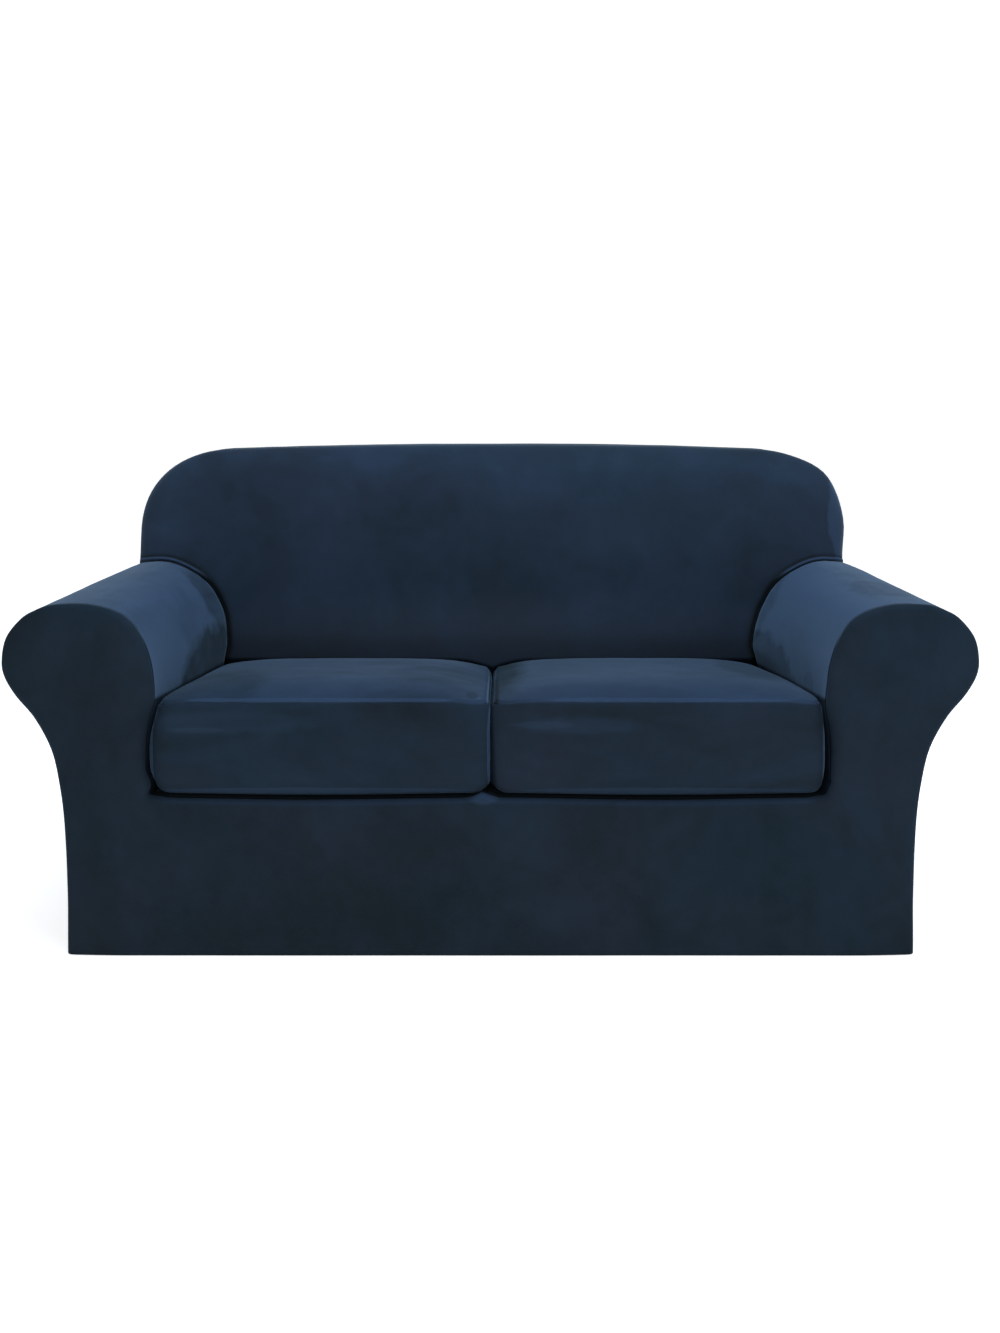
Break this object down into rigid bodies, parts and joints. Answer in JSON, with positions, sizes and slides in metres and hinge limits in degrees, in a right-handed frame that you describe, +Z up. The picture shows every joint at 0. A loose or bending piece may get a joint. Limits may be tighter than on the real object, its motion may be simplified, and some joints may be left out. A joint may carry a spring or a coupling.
{
  "type": "sofa slipcover",
  "caption": "Fitted stretch-velvet slipcover for a small sofa with rolled arms: hollow body cover with separate covers for the seat cushions.",
  "frame": {"origin": "underside of the cloth at the middle of the top of the back", "axes": "+X to the right as seen from the front, along the cover's width; +Y to the rear; +Z up"},
  "size_m": [1.7, 0.864, 0.862],
  "materials": {
    "front_panel": "matt navy stretch velvet, short pile",
    "arm_left": "matt navy stretch velvet, short pile",
    "arm_right": "matt navy stretch velvet, short pile",
    "inside_back": "matt navy stretch velvet, short pile",
    "outside_back": "matt navy stretch velvet, short pile",
    "deck": "matt navy stretch velvet, short pile",
    "cushion_left_top": "matt navy stretch velvet, short pile",
    "cushion_left_boxing": "matt navy stretch velvet, short pile",
    "cushion_right_top": "matt navy stretch velvet, short pile",
    "cushion_right_boxing": "matt navy stretch velvet, short pile"
  },
  "bodies": {
    "root": {"front_panel": "front_panel", "arm_left": "arm_left", "arm_right": "arm_right", "inside_back": "inside_back", "outside_back": "outside_back", "deck": "deck", "cushion_left_top": "cushion_left_top", "cushion_left_boxing": "cushion_left_boxing", "cushion_right_top": "cushion_right_top", "cushion_right_boxing": "cushion_right_boxing"}
  },
  "joints": []
}
